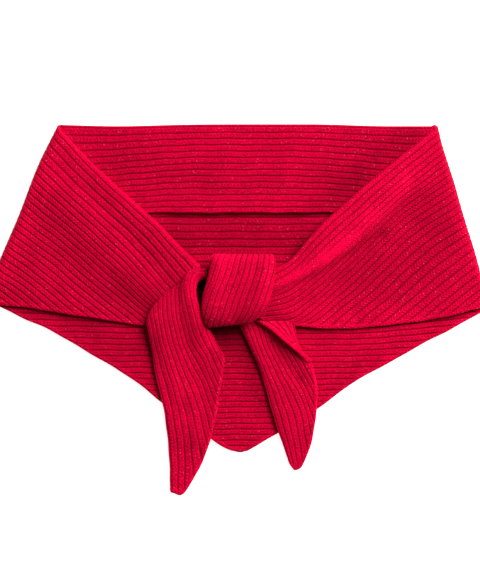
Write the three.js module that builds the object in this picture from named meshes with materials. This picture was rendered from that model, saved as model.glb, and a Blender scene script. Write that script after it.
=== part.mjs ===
// A rib-knit triangle scarf, knotted in front as it is worn and laid flat, in millimetres.
// +X is the viewer's right, +Y is towards the back of the neck and +Z is up from the table.
import * as THREE from "three";

// Driving sizes
const RIB_DEPTH = 0.9; // groove below the crest of a rib
const KNIT = 3; // thickness of the ribbed knit
const GAP = 0.3; // clearance between stretches that touch
const TURN_IN = 77; // depth of the turned-in long edge
const TURN_IN_RIBS = 15;
const NECK_FOLD_Y = 155; // fold line at the back of the neck
const PANEL_TIP_Y = -119.7; // point of the triangle at the back
const RED = 0xc30431;

// The back panel's slanted cut edges, a row for each height on the panel.
const CUT_EDGE = [
  { y: 8.4, left: -212.5, right: 218 },
  { y: 2.5, left: -199, right: 212.5 },
  { y: -7.6, left: -179, right: 195.5 },
  { y: -16, left: -159, right: 180 },
  { y: -27.7, left: -138.5, right: 157 },
  { y: -39.5, left: -118.5, right: 136.5 },
  { y: -51.2, left: -98.5, right: 115 },
  { y: -64.7, left: -79, right: 92 },
  { y: -79, left: -61, right: 73 },
  { y: -92.4, left: -43, right: 51.7 },
  { y: -104.2, left: -26.8, right: 32.8 },
  { y: -111, left: -17.6, right: 21 },
  { y: -116, left: -10, right: 12.5 },
  { y: -119.7, left: -2, right: 6 },
];

// Guide ribs of the two fronts, counted from the neck edge. Each runs from its side fold
// through a third and two thirds of the way to its end, as x, y and height of the upper side.
const LEFT_FRONT = [
  { rib: 0, fold: [-150, 154.5, 13], near: [-112, 113, 13], far: [-71, 75, 12.5], end: [-22, 27, 10] },
  { rib: 7, fold: [-166.5, 119, 13], near: [-129, 84, 12.8], far: [-91, 49, 10], end: [-43, -1, 9] },
  { rib: 15, fold: [-182.5, 79, 11.5], near: [-147, 50, 8], far: [-111, 19, 7.5], end: [-71, -13, 9] },
  { rib: 21, fold: [-195.5, 49, 9.5], near: [-173, 31.5, 7.5], far: [-150, 13, 7.5], end: [-127, -6, 8.5] },
  { rib: 25, fold: [-204, 29, 9], near: [-191.5, 20, 7.5], far: [-179, 10.5, 7.5], end: [-167, 0.5, 8] },
  { rib: 29, fold: [-212.5, 9.5, 8], near: [-209, 7.5, 8], far: [-206.5, 6.3, 8], end: [-204, 5, 8] },
];
const RIGHT_FRONT = [
  { rib: 0, fold: [168, 154.5, 13], near: [120, 115, 14], far: [76.5, 77, 15], end: [28, 28.5, 16.5] },
  { rib: 3, fold: [172.5, 136.5, 14], near: [126, 102, 17], far: [79, 66, 18.5], end: [27, 17, 17] },
  { rib: 6, fold: [177, 121.5, 13.5], near: [131, 88, 14.5], far: [82.5, 54, 15.5], end: [26, 6, 17] },
  { rib: 10.5, fold: [184, 98, 12.5], near: [137, 65.5, 9.5], far: [86.5, 28.5, 11], end: [26, -8, 16] },
  { rib: 15, fold: [191, 75, 11], near: [152, 46, 8], far: [112.5, 16, 8.5], end: [71.5, -16, 11] },
  { rib: 20, fold: [198.5, 50, 9.5], near: [173, 28.5, 8], far: [148, 7.5, 8.5], end: [122, -13, 8.5] },
  { rib: 25, fold: [206, 25, 9], near: [195.5, 13.5, 8], far: [184, 3.5, 8], end: [172.5, -7, 8] },
  { rib: 29, fold: [212.5, 5.5, 8], near: [209, 3.5, 8], far: [206.5, 2.3, 8], end: [204, 1, 8] },
];

// The band round the knot, from behind its top, over the front, to behind its bottom.
const BAND_RIBS = 11;
const BAND = [
  { along: 0, left: [-17, 36, 7], right: [29, 37, 8], swell: 0 },
  { along: 0.08, left: [-20, 43.5, 9.5], right: [31, 44, 10], swell: 0.5 },
  { along: 0.16, left: [-22.5, 46, 15], right: [32.5, 45.5, 15.5], swell: 1 },
  { along: 0.25, left: [-23.2, 42, 21.5], right: [33, 42, 21.5], swell: 3 },
  { along: 0.42, left: [-24, 28, 22], right: [32, 30, 22.5], swell: 4 },
  { along: 0.6, left: [-26, 10, 22], right: [30, 13, 22.5], swell: 4 },
  { along: 0.75, left: [-28.5, -2, 20], right: [27, 3, 21], swell: 4 },
  { along: 0.87, left: [-28, -11, 17.5], right: [20, -6.5, 18], swell: 2 },
  { along: 0.95, left: [-24, -16, 13.5], right: [11, -12.5, 14], swell: 0.5 },
  { along: 1, left: [-22, -13, 10.8], right: [9, -10, 11], swell: 0 },
];

// The right end where it passes through the knot, from the right front to the left tail.
const CORE = [
  { along: 0, x: 20, low: -4, high: 28, under: 10.5, top: 17.6 },
  { along: 0.5, x: 2, low: -6, high: 31, under: 10.5, top: 18.1 },
  { along: 1, x: -21, low: -6, high: 30, under: 11, top: 17.1 },
];

// Guide ribs of the two tails, from the knot to where each rib meets the slanted cut end.
const LEFT_TAIL = [
  { rib: 0, run: [[-76, -7, 14.3], [-71.4, -32, 8.5], [-66.8, -58, 6.6], [-59.6, -92, 3.6], [-52.2, -153, 3.1]] },
  { rib: 1.5, run: [[-71, -1, 14.3], [-67.5, -28, 10], [-63, -55, 6.8], [-55, -90, 4], [-45.4, -152.5, 3.1]] },
  { rib: 4.5, run: [[-61, 11, 14.5], [-59, -14, 13], [-55.4, -43, 7.5], [-49, -80, 6.2], [-32.3, -130, 3.6]] },
  { rib: 9, run: [[-45, 25, 16.5], [-43, 3.4, 15.5], [-38, -22, 11], [-28.6, -51, 7.5], [-16, -76.4, 6.6]] },
  { rib: 11, run: [[-37.8, 32, 17], [-37.6, 11.8, 17], [-32.8, -11, 14], [-22.7, -36, 8.5], [-12.6, -59.6, 6.8]] },
  { rib: 13, run: [[-25.5, 32.5, 16.8], [-33.5, 20, 17], [-28.7, -5.6, 14.5], [-18.2, -30, 9.5], [-12.2, -41.8, 7.2]] },
];
const RIGHT_TAIL = [
  { rib: 0, run: [[2, -7, 8.8], [12.2, -33.6, 8], [21.8, -56.3, 7.2], [35.3, -105, 4.6], [46.5, -132, 3.1]] },
  { rib: 2, run: [[9, -7, 8], [19.5, -33.6, 7.5], [30, -57, 7], [45, -103, 5], [53, -131, 3.1]] },
  { rib: 4, run: [[17, -7, 6.6], [27, -32, 6.7], [38, -56, 6.6], [50.5, -92, 6.2], [59, -118, 4]] },
  { rib: 6, run: [[25, -7, 6.4], [35, -30, 6.4], [46, -52, 6.6], [56, -74, 6.8], [64.5, -97, 6.2]] },
  { rib: 8, run: [[33, -7, 6.2], [41, -26, 6.2], [49.5, -38, 6.6], [56.5, -43, 7], [61.5, -47.5, 7.4]] },
  { rib: 9, run: [[44, -8, 6.2], [47, -20, 6.2], [50, -30, 6.4], [53, -36, 6.6], [56, -41, 6.9]] },
];
const TAIL_STATIONS = [0, 0.2, 0.42, 0.7, 1];

// The corner of the right tail that rolls over to the front.
const TURNBACK = [
  { rib: 0, run: [[17, -9.5, 10], [27, -15.5, 10.2], [36.5, -23, 10.3], [46, -30, 10], [52.5, -36.5, 9.8]] },
  { rib: 2, run: [[31, -9.5, 9.4], [37, -15, 9.8], [42.5, -22, 10.2], [48.5, -30, 10.2], [53.6, -36, 9.9]] },
  { rib: 4, run: [[46, -9, 9.2], [47.3, -14.5, 9.3], [48.5, -22, 9.6], [51.3, -29, 9.7], [54.8, -35.5, 9.8]] },
];

// A smooth curve through values of numbers or points at rising knots.
function smooth(knots, values, at) {
  const last = knots.length - 1;
  const t = Math.min(Math.max(at, knots[0]), knots[last]);
  let k = 0;
  while (k < last - 1 && t > knots[k + 1]) k += 1;
  const slope = (i, c) => {
    const a = Math.max(i - 1, 0);
    const b = Math.min(i + 1, last);
    return (pick(values[b], c) - pick(values[a], c)) / (knots[b] - knots[a]);
  };
  const step = knots[k + 1] - knots[k];
  const s = (t - knots[k]) / step;
  const blend = (c) =>
    (1 + 2 * s) * (1 - s) ** 2 * pick(values[k], c) +
    s * (1 - s) ** 2 * step * slope(k, c) +
    s * s * (3 - 2 * s) * pick(values[k + 1], c) +
    s * s * (s - 1) * step * slope(k + 1, c);
  return Array.isArray(values[0]) ? values[0].map((_, c) => blend(c)) : blend(0);
}

function pick(value, c) {
  return Array.isArray(value) ? value[c] : value;
}

function column(table, key, name, at) {
  return smooth(table.map((row) => row[key]), table.map((row) => row[name]), at);
}

function ramp(from, to, value) {
  const t = Math.min(Math.max((value - from) / (to - from), 0), 1);
  return t * t * (3 - 2 * t);
}

function between(a, b, t) {
  return a.map((v, c) => v + (b[c] - v) * t);
}

function range(from, to, count) {
  return Array.from({ length: count }, (_, i) => from + ((to - from) * i) / (count - 1));
}

function vector(point) {
  return new THREE.Vector3(...point);
}

// Unit normal of a surface (rib, along), on the side of its upper face.
function normalAt(surface, rib, along, side) {
  const h = 0.02;
  const a = vector(surface(rib + h, along)).sub(vector(surface(rib - h, along)));
  const b = vector(surface(rib, along + h)).sub(vector(surface(rib, along - h)));
  return a.cross(b).normalize().multiplyScalar(side);
}

// Upper points of a stretch: a row for each crest and each groove, the grooves pushed in.
function ribbedRows(surface, spec) {
  const rows = [];
  const count = Math.round((spec.to - spec.from) * 2) + 1;
  for (const rib of range(spec.from, spec.to, count)) {
    const groove = Math.abs(rib - Math.round(rib)) < 0.1 && rib >= (spec.ribbedFrom ?? 0);
    rows.push(
      spec.stations.map((along) => {
        const p = vector(surface(rib, along));
        const inward = normalAt(surface, rib, along, -spec.side);
        return p.addScaledVector(inward, groove ? RIB_DEPTH : 0);
      }),
    );
  }
  return rows;
}

// Rows that round a border off between the outermost upper row and the lower row beneath it.
function roundedBorder(upper, lower, inner, bulge) {
  return [45, 90, 135].map((degrees) => {
    const turn = THREE.MathUtils.degToRad(degrees);
    return upper.map((p, j) => {
      const middle = p.clone().add(lower[j]).multiplyScalar(0.5);
      const half = p.clone().sub(middle);
      const out = p.clone().sub(inner[j]);
      out.addScaledVector(half, -out.dot(half) / half.lengthSq()).normalize();
      return middle.addScaledVector(half, Math.cos(turn)).addScaledVector(out, bulge * Math.sin(turn));
    });
  });
}

// A closed body round a stretch: upper rows, rounded borders, plain lower rows and two ends.
function closedBody(upper, lower, bulge) {
  const first = roundedBorder(upper[0], lower[0], upper[2], bulge[0]).reverse();
  const last = roundedBorder(upper.at(-1), lower.at(-1), upper.at(-3), bulge[1]);
  const ring = [...upper, ...last, ...lower.slice().reverse(), ...first];
  const columns = upper[0].length;
  const points = ring.flat();
  const faces = [];
  const id = (i, j) => (i % ring.length) * columns + j;
  for (let i = 0; i < ring.length; i += 1) {
    for (let j = 0; j + 1 < columns; j += 1) {
      faces.push([id(i, j), id(i + 1, j), id(i + 1, j + 1)], [id(i, j), id(i + 1, j + 1), id(i, j + 1)]);
    }
  }
  const top = [ring.length - 2, ring.length - 1, ...range(0, upper.length + 1, upper.length + 2)];
  const bottom = [];
  for (let i = ring.length - 2; i >= upper.length + 1; i -= 1) bottom.push(i);
  for (const j of [0, columns - 1]) {
    const a = top.map((i) => id(i, j));
    const b = bottom.map((i) => id(i, j));
    for (const face of zipped(points, a, b)) faces.push(j === 0 ? face : face.reverse());
  }
  return { points, faces };
}

// Triangles between two chains of points that share both ends.
function zipped(points, a, b) {
  const length = (chain) => {
    const sums = [0];
    for (let i = 1; i < chain.length; i += 1) {
      sums.push(sums[i - 1] + points[chain[i]].distanceTo(points[chain[i - 1]]));
    }
    return sums.map((v) => v / sums.at(-1));
  };
  const [la, lb] = [length(a), length(b)];
  const faces = [];
  let i = 0;
  let j = 0;
  while (i < a.length - 1 || j < b.length - 1) {
    const stepA = j === b.length - 1 || (i < a.length - 1 && la[i + 1] <= lb[j + 1]);
    const face = stepA ? [a[i], b[j], a[i + 1]] : [a[i], b[j], b[j + 1]];
    if (stepA) i += 1;
    else j += 1;
    if (new Set(face).size === 3) faces.push(face);
  }
  return faces;
}

// A named mesh of a closed body, with its faces turned outwards.
function mesh(name, body) {
  const { points, faces } = body;
  let volume = 0;
  for (const [a, b, c] of faces) volume += points[a].dot(points[b].clone().cross(points[c]));
  const wound = volume < 0 ? faces.map(([a, b, c]) => [a, c, b]) : faces;
  const geometry = new THREE.BufferGeometry();
  geometry.setAttribute("position", new THREE.Float32BufferAttribute(points.flatMap((p) => p.toArray()), 3));
  geometry.setIndex(wound.flat());
  geometry.computeVertexNormals();
  const cloth = new THREE.MeshStandardMaterial({ color: RED, roughness: 0.95, side: THREE.DoubleSide });
  const made = new THREE.Mesh(geometry, cloth);
  made.name = name;
  return made;
}

// A stretch whose lower side follows a function of its own.
function stretch(name, surface, lowerSide, spec) {
  const upper = ribbedRows(surface, spec);
  const lower = range(spec.from, spec.to, spec.lowerRows).map((rib) =>
    spec.stations.map((along) => vector(lowerSide(rib, along))),
  );
  return mesh(name, closedBody(upper, lower, spec.bulge));
}

// A stretch whose lower side lies one thickness under the upper one.
function evenStretch(name, surface, spec) {
  const lowerSide = (rib, along) => {
    const inward = normalAt(surface, rib, along, -spec.side);
    return vector(surface(rib, along)).addScaledVector(inward, spec.thickness).toArray();
  };
  return stretch(name, surface, lowerSide, spec);
}

// Side folds
const SIDES = {
  left: { table: LEFT_FRONT, out: new THREE.Vector2(-0.918, 0.397) },
  right: { table: RIGHT_FRONT, out: new THREE.Vector2(0.958, 0.286) },
};

// Where the layers inside a side fold stop, at a height on the panel.
function insideFold(side, y) {
  const { table, out } = SIDES[side];
  const folds = table.map((row) => row.fold).sort((a, b) => a[1] - b[1]);
  const heights = folds.map((fold) => fold[1]);
  const x = smooth(heights, folds.map((fold) => fold[0]), y);
  const radius = smooth(heights, folds.map((fold) => fold[2]), y) / 2;
  return x - (radius + GAP + 0.1) / out.x;
}

// Left and right ends of the back panel at a height.
function panelEnds(y) {
  const rows = CUT_EDGE.slice().reverse();
  const cut = (name) => column(rows, "y", name, y);
  const slack = y > 8 ? 60 : 0;
  return [
    Math.max(cut("left") - slack, insideFold("left", y)),
    Math.min(cut("right") + slack, insideFold("right", y)),
  ];
}

// Height that the back panel gives to what lies over it, falling to the table outside it.
function panelRest(x, y) {
  const clear = KNIT + 2 * GAP;
  if (y > 0) return clear;
  const [left, right] = panelEnds(Math.max(y, PANEL_TIP_Y));
  const outside = Math.max(left - x, x - right, 0) * 0.55 + Math.max(PANEL_TIP_Y - y, 0);
  return clear * (1 - ramp(5, 15, outside));
}

function backPanel() {
  const top = NECK_FOLD_Y - 3.2 - GAP;
  const ribs = 53;
  const height = (rib) => top + ((PANEL_TIP_Y + 0.5 - top) * rib) / ribs;
  const surface = (rib, along) => {
    const y = height(rib);
    const [left, right] = panelEnds(y);
    return [left + (right - left) * along, y, KNIT];
  };
  const flat = (rib, along) => {
    const [x, y] = surface(rib, along);
    return [x, y, 0];
  };
  const spec = { from: 0, to: ribs, side: 1, stations: range(0, 1, 7), lowerRows: 19, bulge: [0.01, 0.6] };
  return stretch("back_panel", surface, flat, spec);
}

// The long edge turned in: from under the fold, round it, and down over the back panel.
function neckTurnover() {
  const radius = (2 * KNIT + GAP) / 2;
  const round = 1.6; // ribs taken up by the fold
  const surface = (rib, along) => {
    const turn = Math.PI * (Math.min(rib, round) / round - 0.5);
    const depth = Math.max(rib - round, 0) / (TURN_IN_RIBS - round);
    const y = NECK_FOLD_Y - radius + radius * Math.cos(turn) - depth * (TURN_IN - radius);
    const [left, right] = [insideFold("left", y), insideFold("right", y)];
    const x = left + (right - left) * along;
    const bow = 4 * Math.sin(Math.PI * depth) * ramp(60, 120, Math.abs(x));
    const lift = 1.3 * ramp(0.6, 1, depth) * (1 - ramp(45, 68, Math.abs(x - 2)));
    return [x, y - bow, radius * (1 + Math.sin(turn)) + lift];
  };
  const spec = { from: 0, to: TURN_IN_RIBS, side: 1, stations: range(0, 1, 14), lowerRows: 12, ribbedFrom: 1 };
  return evenStretch("neck_turnover", surface, { ...spec, thickness: KNIT, bulge: [0.01, 0.4] });
}

// Height of whatever lies under a front: the turned-in edge or the bare back panel.
function frontRest(x, y, side) {
  const overTurnIn = GAP + 2 * KNIT + GAP + 0.1;
  const overTail = side === "right" ? 10.4 * ramp(80, 62, x) * ramp(6, -2, y) : 0;
  return Math.max(KNIT + GAP + (overTurnIn - KNIT - GAP) * ramp(64, 74, y), overTail);
}

// A front: up from the table round the side fold, then over to the knot or to its cut edge.
function front(name, side) {
  const { table, out } = SIDES[side];
  const run = (rib) => {
    const [fold, near, far, end] = ["fold", "near", "far", "end"].map((key) => column(table, "rib", key, rib));
    const radius = fold[2] / 2;
    const start = [fold[0] - out.x * radius, fold[1] - out.y * radius, fold[2]];
    return { fold, radius, points: [start, near, far, end] };
  };
  const under = (rib, [x, y, z]) => {
    const doubled = 1 - ramp(14, 15.5, rib);
    return Math.min(Math.max(frontRest(x, y, side), z - KNIT - doubled * (KNIT + GAP)), z - 2.2);
  };
  const upper = (rib, along) => {
    const { fold, radius, points } = run(rib);
    if (along > 0) return smooth([0, 1 / 3, 2 / 3, 1], points, along);
    const turn = Math.PI * (along + 0.5);
    const inward = radius * (1 - Math.cos(turn));
    return [fold[0] - out.x * inward, fold[1] - out.y * inward, radius * (1 + Math.sin(turn))];
  };
  const lower = (rib, along) => {
    const { fold, radius, points } = run(rib);
    if (along > 0) {
      const p = upper(rib, along);
      return [p[0], p[1], under(rib, p)];
    }
    const ceiling = under(rib, points[0]);
    const hollow = (ceiling - KNIT) / 2;
    const turn = Math.PI * (along + 0.5);
    const inward = radius - hollow * Math.cos(turn);
    return [fold[0] - out.x * inward, fold[1] - out.y * inward, KNIT + hollow * (1 + Math.sin(turn))];
  };
  const stations = [-1, -0.75, -0.5, -0.25, 0, ...range(0.1, 1, 9)];
  const spec = { from: 0.5, to: 29, side: side === "left" ? 1 : -1, stations, lowerRows: 16, bulge: [2.4, 1.2] };
  return stretch(name, upper, lower, spec);
}

function knotBand() {
  const surface = (rib, along) => {
    const across = rib / BAND_RIBS;
    const left = column(BAND, "along", "left", along);
    const right = column(BAND, "along", "right", along);
    const swell = column(BAND, "along", "swell", along);
    const p = between(left, right, across);
    return [p[0], p[1], p[2] + swell * (1 - (2 * across - 1) ** 4)];
  };
  const stations = [0, 0.05, 0.1, 0.15, 0.2, 0.25, 0.34, 0.44, 0.54, 0.64, 0.73, 0.8, 0.86, 0.91, 0.96, 1];
  const spec = { from: 0, to: BAND_RIBS, side: -1, stations, lowerRows: 7, thickness: KNIT, bulge: [1, 1] };
  return evenStretch("knot_band", surface, spec);
}

function knotCore() {
  const ribs = 8;
  const side = (name) => (rib, along) => {
    const at = (key) => column(CORE, "along", key, along);
    const across = rib / ribs;
    const edge = (2 * across - 1) ** 4;
    const y = at("high") + (at("low") - at("high")) * across;
    const drop = 2 * edge * (name === "top" ? -1 : 1);
    return [at("x"), y, at(name) + drop];
  };
  const spec = { from: 0, to: ribs, side: -1, stations: range(0, 1, 6), lowerRows: 7, bulge: [1, 1] };
  return stretch("knot_core", side("top"), side("under"), spec);
}

// A tail laid from its guide ribs, kept clear of the back panel and lying on the table past it.
function tail(name, table, ribs, doubled, bulge) {
  const surface = (rib, along) => {
    const run = column(table.map((row) => ({ rib: row.rib, run: row.run.flat() })), "rib", "run", rib);
    const points = [0, 1, 2, 3, 4].map((k) => run.slice(3 * k, 3 * k + 3));
    const [x, y, z] = smooth(TAIL_STATIONS, points, along);
    return [x, y, Math.max(z, panelRest(x, y) + KNIT)];
  };
  const lower = (rib, along) => {
    const [x, y, z] = surface(rib, along);
    return [x, y, z - KNIT - doubled(rib, along)];
  };
  const spec = { from: 0, to: ribs, side: -1, stations: range(0, 1, 15), lowerRows: 12, bulge };
  return stretch(name, surface, lower, spec);
}

function leftTail() {
  const doubled = (rib, along) => 3.3 * (1 - ramp(0.02, 0.25, along)) * ramp(3, 9, rib);
  return tail("left_tail", LEFT_TAIL, 13, doubled, [0.6, 1]);
}

function rightTail() {
  return tail("right_tail", RIGHT_TAIL, 9, () => 0, [0.6, 0.6]);
}

function rightTailTurnback() {
  const surface = (rib, along) => {
    const run = column(TURNBACK.map((row) => ({ rib: row.rib, run: row.run.flat() })), "rib", "run", rib);
    const points = [0, 1, 2, 3, 4].map((k) => run.slice(3 * k, 3 * k + 3));
    return smooth([0, 0.25, 0.5, 0.75, 1], points, along);
  };
  const lower = (rib, along) => {
    const [x, y, z] = surface(rib, along);
    return [x, y, z - 2.4];
  };
  const spec = { from: 0, to: 4, side: -1, stations: range(0, 1, 7), lowerRows: 4, bulge: [0.4, 0.6] };
  return stretch("right_tail_turnback", surface, lower, spec);
}

const group = new THREE.Group();
group.name = "rib_knit_scarf";
group.add(
  backPanel(),
  neckTurnover(),
  front("left_front", "left"),
  front("right_front", "right"),
  knotCore(),
  knotBand(),
  leftTail(),
  rightTail(),
  rightTailTurnback(),
);


// The part's frame has its origin under the middle of its box.
const middle = new THREE.Box3().setFromObject(group).getCenter(new THREE.Vector3());
group.position.set(-middle.x, -middle.y, 0);

export default group;
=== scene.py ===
"""A rib-knit triangle scarf, knotted in front as it is worn and laid flat on a pale surface.

Sizes in the tables are millimetres on the part's drawing: +X is the viewer's right, +Y is
towards the back of the neck and +Z is up. Finished meshes are in metres.
"""

import math

import bmesh
import bpy
import numpy as np
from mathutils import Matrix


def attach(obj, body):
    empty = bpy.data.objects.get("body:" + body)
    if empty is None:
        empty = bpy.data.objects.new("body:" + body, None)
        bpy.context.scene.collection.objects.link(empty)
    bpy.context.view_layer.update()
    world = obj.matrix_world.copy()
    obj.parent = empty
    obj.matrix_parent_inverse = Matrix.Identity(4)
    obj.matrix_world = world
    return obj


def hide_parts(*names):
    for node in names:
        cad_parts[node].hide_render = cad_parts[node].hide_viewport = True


bl_info = {
    "name": "Rib-knit triangle scarf",
    "version": (1, 0, 0),
    "blender": (4, 2, 0),
    "location": "3D View > Sidebar > Scarf",
    "description": "Builds a knotted rib-knit scarf, laid flat, with its stage",
    "category": "Add Mesh",
}

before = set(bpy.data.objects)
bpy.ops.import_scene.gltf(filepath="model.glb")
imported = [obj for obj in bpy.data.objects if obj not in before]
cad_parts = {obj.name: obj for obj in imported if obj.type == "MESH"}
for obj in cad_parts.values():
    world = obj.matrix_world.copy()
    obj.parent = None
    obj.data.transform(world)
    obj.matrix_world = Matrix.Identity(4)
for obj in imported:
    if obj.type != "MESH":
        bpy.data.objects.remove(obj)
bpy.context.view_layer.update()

# Drawing sizes in millimetres
SHIFT = np.array([0.0223, -0.3749, 0.0])  # from the drawing to the part's frame
KNIT = 3.0  # thickness of the knit
SHELL = 2.6  # thickness of a shell, so that layers stay apart
STRAND_SHELL = 2.0
RIM_DRAWN_IN = 0.45  # share of its thickness that a shell keeps at its borders
UNDERSIDE = 0.1  # height of the back panel's flat underside

TURN_IN = 77.0  # depth of the turned-in long edge
NECK_FOLD_Y = 155.0
NECK_FOLD_RADIUS = 3.15
NECK_CORNER = 3.6  # how far the turned-in edge reaches into the side folds at the neck
NECK_ARCH = 7.0  # how far the turned-in edge bows down on its way out to the sides
NECK_LIFT = 1.3  # how far its lower edge rises in the middle
FOLD_DIP = 1.6  # how far the neck fold sags at the left and at the right
PANEL_TIP_Y = -119.7
PANEL_SLACK = 60.0  # room past the top of the cut edges, where the side folds end the panel
PANEL_REST = 3.6  # height that the panel gives to what lies over it
TAIL_DROP = 32.0  # way from the panel's edge to where a tail lies on the table
EDGE_SLANT = 0.55  # distance square to a cut edge for each millimetre sideways
MIDDLE_X = 5.0  # of the neck and the panel

RIB_PITCH = 5.3  # where the knit isn't pulled
RIB_BOW = 3.0  # how far the panel's ribs rise towards its sides
RIB_SWEEP = 6.0  # and how much more beside its right corner
CREST_FLATNESS = 4  # power that squares the crest of a rib
GROOVE_SOFTNESS = 0.7  # power that opens the grooves
RIM_WIDTH = 3.0  # bead along a raw edge
RIM_RISE = 0.4
BEAD_PLACE = 1.4  # from the raw edge to the middle of its bead
BEAD_WIDTH = 1.1
CUT_ROLL = 1.3  # radius of the roll of a cut edge
WANDER = 0.16  # how far ribs stray sideways
MOST_LEAN = 1.2  # of a front's ribs round its side fold, sideways for each millimetre out

# Mesh points: shares of a rib, millimetres from a rolled edge, and points along and across
RIB_STEPS = (0.0, 0.05, 0.11, 0.2, 0.34, 0.5, 0.66, 0.8, 0.89, 0.95)
HIDDEN_RIB_STEP = 0.5  # where the back panel is covered
EDGE_STEPS = (0.5, 1.2, 2.2)
BAND_POINTS = (64, 130)
STRAND_POINTS = (24, 70)

# Stage sizes in metres
PICTURE_HEIGHT = 0.4838  # what the picture shows from top to bottom
PICTURE_CENTRE = (0.0025, 0.0176)  # on the drawing
CAMERA_HEIGHT = 1.7
FLOOR_HALF = 3.0  # half its side
SENSOR = 36.0  # millimetres

# Ribs of the back panel, counted from its tip, at heights on the drawing
PANEL_RIBS = ((PANEL_TIP_Y, 0.0), (-22.0, 20.8), (20.0, 28.9), (79.0, 38.4), (151.5, 52.0))
# The back panel's slanted cut edges: height on the panel, left end, right end
CUT_EDGE = (
    (8.4, -212.5, 218.0),
    (2.5, -199.0, 212.5),
    (-7.6, -179.0, 195.5),
    (-16.0, -159.0, 180.0),
    (-27.7, -138.5, 157.0),
    (-39.5, -118.5, 136.5),
    (-51.2, -98.5, 115.0),
    (-64.7, -79.0, 92.0),
    (-79.0, -61.0, 73.0),
    (-92.4, -43.0, 51.7),
    (-104.2, -26.8, 32.8),
    (-111.0, -17.6, 21.0),
    (-116.0, -10.0, 12.5),
    (PANEL_TIP_Y, -2.0, 6.0),
)

# Guide ribs of the fronts, counted from the neck edge: rib, then x, y and height of the
# upper side at each station from the side fold to the end.
FRONT_STATIONS = {"left": (0, 0.33, 0.67, 1), "right": (0, 0.3, 0.6, 0.85, 1)}
FRONTS = {
    "left": (
        (0, (-150, 154.5, 9.8), (-112, 113, 12), (-71, 75, 12.5), (-31, 36, 10.5)),
        (1.6, (-153, 148, 11), (-115.5, 106.5, 12.6), (-75, 69.5, 12), (-38, 28.5, 10)),
        (6, (-166, 121.5, 12.5), (-129, 84, 12.3), (-91, 49, 10), (-46, -1, 8)),
        (14, (-182.5, 79, 11.5), (-147, 50, 8), (-111, 19, 7.1), (-71, -13, 6.6)),
        (20.2, (-195.5, 49, 9.5), (-173, 31.5, 7.5), (-150, 13, 6.7), (-127, -6, 6.2)),
        (24.4, (-204, 29, 9), (-191.5, 20, 7.5), (-179, 10.5, 6.7), (-167, 0.5, 6.3)),
        (28.6, (-212.5, 9.5, 8), (-209, 7.5, 7.5), (-206.5, 6.3, 7), (-204, 5, 6.8)),
    ),
    "right": (
        (0, (168, 154.5, 9.8), (120, 115, 13), (70, 70.5, 15.5), (43.6, 41.3, 16.5), (24, 30.5, 16)),
        (3, (171.7, 138.5, 11.5), (126, 99.5, 16.5), (79, 57.8, 19.5), (44.5, 25.8, 19.5), (22, 13.5, 17.5)),
        (6, (176, 124.5, 12.5), (131, 87.5, 16), (87, 46.9, 18.5), (45.9, 12.5, 17), (20, 3.5, 16)),
        (8, (178.9, 115.5, 12.5), (134, 80, 12), (92, 40.5, 13), (48.3, 3.6, 13.5), (20, -3.5, 14.5)),
        (9.5, (181.2, 108.5, 12.2), (135.8, 74, 10), (95.8, 35.8, 10.5), (50, -3.4, 10.5), (20, -8.3, 12)),
        (10.5, (182.7, 103.5, 12), (137, 70, 9), (98.3, 32.4, 9.2), (51.2, -7.8, 9), (32, -11.2, 9.5)),
        (15, (190, 78, 11), (152, 51, 8), (112.5, 14, 7), (88, -6, 6.5), (77, -15.8, 6.2)),
        (20, (200, 46, 9.5), (175, 24, 7.6), (151, 4, 6.9), (137, -7.4, 6.5), (129.5, -12.8, 6.2)),
        (24, (207, 20, 8.2), (195, 9.5, 7.4), (184, 0.5, 6.9), (178, -4, 6.5), (175, -6, 6.2)),
        (26.8, (212.5, 5.5, 7.2), (209, 3.5, 7), (206.5, 2.3, 6.8), (205, 1.4, 6.7), (204, 1, 6.7)),
    ),
}
FOLD_OUT = {"left": np.array([-0.918, 0.397]), "right": np.array([0.958, 0.286])}

# The band round the knot: way along, left point, right point, swell of its middle
BAND = (
    (0.0, (-15, 36, 7), (25, 37, 8), 0),
    (0.08, (-16.5, 43.5, 9.5), (26, 44, 10), 0.5),
    (0.16, (-18.5, 46.3, 15), (28.5, 46, 15.5), 1),
    (0.25, (-20.8, 42.5, 21), (30.6, 42.3, 21), 3),
    (0.42, (-23, 28, 21.5), (30.4, 30, 22), 3.5),
    (0.6, (-27.8, 10, 20.5), (28.2, 13, 22), 4),
    (0.75, (-28.6, -1.5, 19.5), (25.6, 3, 21.5), 4),
    (0.87, (-26.2, -10, 18.5), (18.5, -6, 19.5), 3),
    (0.95, (-22.5, -15.5, 16), (10, -12, 17), 0.5),
    (1.0, (-20, -13, 12), (8, -9.5, 12.5), 0),
)
# Ribs at the band's left and right edges, as the ribs lean to the left on their way down
BAND_RIBS = (
    (0.0, -1.8, 9.0),
    (0.28, -0.96, 9.85),
    (0.42, -0.5, 10.1),
    (0.6, 0.0, 10.7),
    (0.75, 0.5, 11.0),
    (0.82, 0.95, 10.8),
    (0.89, 1.8, 10.3),
    (1.0, 3.2, 9.3),
)

# The strand inside the knot: way along, x, low side, high side, underside, top
CORE = (
    (0, 20, -4, 28, 10.5, 17.6),
    (0.5, 2, -6, 31, 10.5, 18.1),
    (0.86, -19, -7, 28, 11, 17.1),
    (1, -28.5, -9, 13.5, 9, 15.5),
)
STRAND_ARC = (205, -25)  # degrees round it, from its low side over its top

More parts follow.
